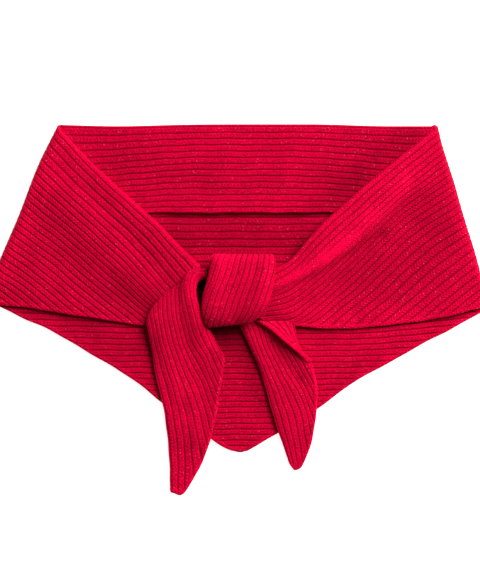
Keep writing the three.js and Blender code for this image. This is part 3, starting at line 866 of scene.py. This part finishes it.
class SCARF_OT_back_panel(bpy.types.Operator):
    """Builds the middle of the triangle, flat on the table"""

    bl_idname = "scarf.back_panel"
    bl_label = "Back panel"

    def execute(self, context):
        heights, numbers = [row[0] for row in PANEL_RIBS], [row[1] for row in PANEL_RIBS]
        hidden_from = 42
        hidden = np.arange(hidden_from + HIDDEN_RIB_STEP, numbers[-1], HIDDEN_RIB_STEP)
        ribs = np.concatenate([rib_rows(0.15, hidden_from), hidden])
        y = smooth(numbers, heights, ribs)
        left, right = panel_ends(y)
        # The ribs bend, so where each one ends is found in a few steps
        for _ in range(4):
            left = panel_ends(y + rib_bend(left, y))[0]
            right = panel_ends(y + rib_bend(right, y))[1]
        x = left[:, None] + (right - left)[:, None] * ways(length=420, step=3.4)[None, :]
        rows = np.repeat(y[:, None], x.shape[1], axis=1)
        points = np.stack([x, rows + rib_bend(x, rows), np.full(x.shape, KNIT)], axis=-1)
        points = uneven(creased(points, "back_panel"), seed=1, amount=0.3)
        stretch = Stretch(points, ribs, flip=True, raw=("start", "end"))
        for side in ("start", "end", "low"):
            stretch.roll(side, radius=CUT_ROLL, degrees=80)
        keep_above(stretch, height=0.9)
        piece = shell("scarf_back_panel", stretch, seed=1, flat_under=UNDERSIDE)
        finish_piece(piece, "back_panel")
        return {"FINISHED"}


class SCARF_OT_neck_turnover(bpy.types.Operator):
    """Builds the long edge, turned in along the back of the neck"""

    bl_idname = "scarf.neck_turnover"
    bl_label = "Turned-in neck edge"

    def execute(self, context):
        radius = NECK_FOLD_RADIUS
        first, last = 0.33, 15.75
        round_ribs = np.pi * radius / RIB_PITCH
        ribs = rib_rows(first, last)
        turn = np.pi * (np.minimum(ribs - first, round_ribs) / round_ribs - 0.5)
        depth = np.maximum(ribs - first - round_ribs, 0) / (last - first - round_ribs)
        y = NECK_FOLD_Y - radius + radius * np.cos(turn) - depth * (TURN_IN - radius - CUT_ROLL)
        corner = NECK_CORNER * ramp(138, 147, y)
        left, right = inside_fold("left", y) - corner, inside_fold("right", y) + corner
        along = ways(330, knit_size("along_step"), rounded=(False, False))
        x = left[:, None] + (right - left)[:, None] * along[None, :]
        depth = depth[:, None]
        arch = NECK_ARCH * np.sin(np.pi * depth) ** 0.8 * ramp(40, 165, np.abs(x - MIDDLE_X))
        arch -= 2.0 * depth
        dip = FOLD_DIP * np.exp(-(((x + 100) / 45) ** 2)) + FOLD_DIP * ramp(60, 130, x)
        lift = NECK_LIFT * ramp(0.6, 1, depth) * ramp(72, 45, np.abs(x - 2))
        height = radius * (1 + np.sin(turn))[:, None] + lift
        points = np.stack([x, y[:, None] - arch - dip * (1 - depth), height], axis=-1)
        waved = uneven(creased(points.copy(), "neck_turnover"), seed=2, amount=0.35)
        points = np.where((depth > 0.05)[..., None], waved, points)
        stretch = Stretch(points, ribs, flip=False)
        stretch.roll("high", radius=CUT_ROLL, degrees=100)
        piece = shell("scarf_neck_turnover", stretch, seed=2)
        finish_piece(piece, "neck_turnover")
        return {"FINISHED"}


# The fronts


def front_points(side, ribs, along):
    """Points of a front: round its side fold for ways below 0, then over to its end."""
    stations = FRONT_STATIONS[side]
    fold, near, *rest = (column(FRONTS[side], 1 + k, ribs) for k in range(len(stations)))
    out = FOLD_OUT[side]
    up = np.array([out[1], -out[0]]) * np.sign(-out[0])
    radius = fold[:, 2] / 2
    run = near[:, :2] - fold[:, :2] + out * radius[:, None]
    lean = np.clip((run @ up) / -(run @ out), -MOST_LEAN, MOST_LEAN)
    lean = lean * ramp(ribs[-1] - 0.5, ribs[-1] - 5, ribs)
    start = fold.copy()
    start[:, :2] += -out * radius[:, None] + up * (lean * radius * np.pi / 2)[:, None]
    over = smooth(stations, np.stack([start, near, *rest]), along[along >= 0])
    turn = np.pi * (along[along < 0] + 0.5)
    inward = (radius[:, None] * (1 - np.cos(turn)))[..., None]
    shift = (lean * radius)[:, None] * turn * np.where(turn > 0, 1, ramp(0, 5, ribs)[:, None])
    flat = fold[:, None, :2] - out * inward + up * shift[..., None]
    height = radius[:, None] * (1 + np.sin(turn))
    around = np.concatenate([flat, height[..., None]], axis=-1)
    return np.concatenate([around, over.transpose(1, 0, 2)], axis=1)


def build_front(side, seed, length, last_rib):
    """Builds one front, from under its side fold to its raw edge."""
    name = f"{side}_front"
    ribs = rib_rows(0.45, last_rib)
    round_fold = np.linspace(-1, 0, 13)[:-1]
    along = np.concatenate([round_fold, ways(length, knit_size("along_step"), rounded=(False, True))])
    points = front_points(side, ribs, along)
    shaped = uneven(creased(points.copy(), name), seed, amount=0.45)
    share = ramp(0, 0.05, along)[None, :, None]
    points = shaped * share + points * (1 - share)
    stretch = Stretch(points, ribs, flip=side == "right", raw=("end",))
    stretch.roll("low", radius=2.9, degrees=150, steps=12)
    stretch.roll("end", radius=1.4, degrees=100)
    stretch.roll("high", radius=1.2, degrees=60, steps=3)
    keep_above(stretch, height=1.2)
    piece = shell(f"scarf_{name}", stretch, seed)
    finish_piece(piece, name)


class SCARF_OT_fronts(bpy.types.Operator):
    """Builds the two sides, folded over to the middle"""

    bl_idname = "scarf.fronts"
    bl_label = "Fronts"

    def execute(self, context):
        build_front("left", seed=3, length=150, last_rib=28.6)
        build_front("right", seed=4, length=160, last_rib=26.8)
        return {"FINISHED"}


# The knot


class SCARF_OT_knot(bpy.types.Operator):
    """Builds the strand inside the knot and the band wrapped round it"""

    bl_idname = "scarf.knot"
    bl_label = "Knot"

    def execute(self, context):
        self.build_band()
        self.build_core()
        return {"FINISHED"}

    def build_band(self):
        """Lays the band on its two edge lines, with a swell between them."""
        along, across = (np.linspace(0, 1, count) for count in BAND_POINTS)
        across = across[:, None]
        left, right = (column(BAND, k, along) for k in (1, 2))
        points = left[None] + (right - left)[None] * across[..., None]
        points[..., 2] += column(BAND, 3, along)[None] * (1 - (2 * across - 1) ** 4)
        first, last = (column(BAND_RIBS, k, along) for k in (1, 2))
        ribs = first[None] + (last - first)[None] * across
        stretch = Stretch(creased(points, "knot_band"), ribs, flip=True)
        stretch.roll("low", radius=2.2, degrees=120).roll("high", radius=2.2, degrees=120)
        piece = shell("scarf_knot_band", stretch, seed=5)
        finish_piece(piece, "knot_band")

    def build_core(self):
        """Builds the top and sides of the rounded strand."""
        along = np.linspace(0, 1, STRAND_POINTS[0])
        turn = np.radians(np.linspace(*STRAND_ARC, STRAND_POINTS[1]))[:, None]
        x, low, high, under, top = (column(CORE, k, along) for k in range(1, 6))
        y = (low + high) / 2 + (high - low) / 2 * np.cos(turn)
        z = (under + top) / 2 + (top - under) / 2 * np.sin(turn)
        points = np.stack([np.broadcast_to(x, y.shape), y, z], axis=-1)
        girth = np.linalg.norm(np.diff(points, axis=0), axis=-1).cumsum(axis=0)
        ribs = np.concatenate([np.zeros((1, len(along))), girth]) / RIB_PITCH
        stretch = Stretch(points, ribs, flip=False)
        piece = shell("scarf_knot_strand", stretch, seed=9, thickness=STRAND_SHELL)
        finish_piece(piece, "knot_core")


# The tails


def build_tail(name, table, stations, last_rib, seed, length, rolls):
    """Builds a tail on its guide ribs, lifted clear of the panel that it lies on."""
    ribs = rib_rows(0, last_rib)
    along = ways(length, step=1.8, rounded=(False, True))
    points = laid_on_guides(table, stations, ribs, along)
    rest = panel_rest(points[..., 0], points[..., 1]) + KNIT
    points[..., 2] = np.maximum(points[..., 2], rest)
    points = uneven(creased(points, name), seed, amount=0.2)
    stretch = Stretch(points, ribs, flip=True, raw=("end",))
    for side, radius, degrees in rolls:
        stretch.roll(side, radius, degrees)
    keep_above(stretch, height=1.6)
    piece = shell(f"scarf_{name}", stretch, seed)
    finish_piece(piece, name)


class SCARF_OT_tails(bpy.types.Operator):
    """Builds the two pointed ends and the rolled corner of the right one"""

    bl_idname = "scarf.tails"
    bl_label = "Tails"

    def execute(self, context):
        build_tail(
            "left_tail", LEFT_TAIL, LEFT_TAIL_STATIONS,
            last_rib=13, seed=6, length=165,
            rolls=(("low", 1.5, 100), ("high", 2.2, 140), ("end", 1.3, 90)),
        )
        build_tail(
            "right_tail", RIGHT_TAIL, RIGHT_TAIL_STATIONS,
            last_rib=10, seed=7, length=120,
            rolls=(("low", 1.5, 100), ("high", 1.5, 100), ("end", 1.3, 90)),
        )
        build_tail(
            "right_tail_turnback", TURNBACK, TURNBACK_STATIONS,
            last_rib=4, seed=8, length=45,
            rolls=(("low", 1.2, 100), ("high", 1.4, 120)),
        )
        return {"FINISHED"}


# The stage


class SCARF_OT_stage(bpy.types.Operator):
    """Builds the floor, the soft lights and the camera straight above"""

    bl_idname = "scarf.stage"
    bl_label = "Stage"

    def execute(self, context):
        self.floor()
        self.light("Key softbox", azimuth=44, elevation=38, distance=1.9, size=1.35, power=76.0)
        self.surroundings()
        self.camera()
        return {"FINISHED"}

    def floor(self):
        """A flat white sheet under the scarf."""
        bm = bmesh.new()
        bmesh.ops.create_grid(bm, x_segments=8, y_segments=8, size=FLOOR_HALF)
        mesh = bpy.data.meshes.new("floor")
        bm.to_mesh(mesh)
        bm.free()
        mesh.materials.append(floor_material())
        made = bpy.data.objects.new("floor", mesh)
        bpy.context.scene.collection.objects.link(made)

    def light(self, name, azimuth, elevation, distance, size, power):
        """A round softbox; azimuth 0 is the back of the neck and 90 the viewer's right."""
        lamp = bpy.data.lights.new(name, "AREA")
        lamp.shape = "DISK"
        lamp.size = size
        lamp.energy = power
        made = bpy.data.objects.new(name, lamp)
        turn, rise = math.radians(azimuth), math.radians(elevation)
        flat = distance * math.cos(rise)
        made.location = (flat * math.sin(turn), flat * math.cos(turn), distance * math.sin(rise))
        made.rotation_euler = (-made.location).to_track_quat("-Z", "Y").to_euler()
        bpy.context.scene.collection.objects.link(made)

    def surroundings(self):
        """Faint white light from all round, and colours shown as they are."""
        world = bpy.data.worlds.new("Studio")
        world.use_nodes = True
        background = world.node_tree.nodes["Background"]
        background.inputs["Color"].default_value = (1.0, 1.0, 1.0, 1.0)
        background.inputs["Strength"].default_value = 0.14
        bpy.context.scene.world = world
        bpy.context.scene.view_settings.view_transform = "Standard"

    def camera(self):
        """Looks straight down on the scarf."""
        lens = bpy.data.cameras.new("Overhead camera")
        lens.sensor_width = SENSOR
        lens.lens = SENSOR * CAMERA_HEIGHT / PICTURE_HEIGHT
        made = bpy.data.objects.new("Overhead camera", lens)
        x, y = (place + shift / 1000 for place, shift in zip(PICTURE_CENTRE, SHIFT))
        made.location = (x, y, CAMERA_HEIGHT)
        bpy.context.scene.collection.objects.link(made)
        bpy.context.scene.camera = made


class SCARF_PT_panel(bpy.types.Panel):
    bl_idname = "SCARF_PT_panel"
    bl_label = "Rib-knit scarf"
    bl_space_type = "VIEW_3D"
    bl_region_type = "UI"
    bl_category = "Scarf"

    def draw(self, context):
        layout = self.layout
        for settings in (context.scene.scarf_knit, context.scene.scarf_colours):
            for name in settings.bl_rna.properties.keys():
                if name not in ("rna_type", "name"):
                    layout.prop(settings, name)
        for operator in BUILDERS:
            layout.operator(operator.bl_idname)


BUILDERS = (
    SCARF_OT_back_panel,
    SCARF_OT_neck_turnover,
    SCARF_OT_fronts,
    SCARF_OT_knot,
    SCARF_OT_tails,
    SCARF_OT_stage,
)
CLASSES = (ScarfKnit, ScarfColours, *BUILDERS, SCARF_PT_panel)


def register():
    for cls in CLASSES:
        bpy.utils.register_class(cls)
    bpy.types.Scene.scarf_knit = bpy.props.PointerProperty(type=ScarfKnit)
    bpy.types.Scene.scarf_colours = bpy.props.PointerProperty(type=ScarfColours)


def unregister():
    del bpy.types.Scene.scarf_colours
    del bpy.types.Scene.scarf_knit
    for cls in reversed(CLASSES):
        bpy.utils.unregister_class(cls)


def main():
    """Builds every piece and the stage."""
    register()
    for operator in BUILDERS:
        group, name = operator.bl_idname.split(".")
        getattr(getattr(bpy.ops, group), name)()


if __name__ == "__main__":
    main()
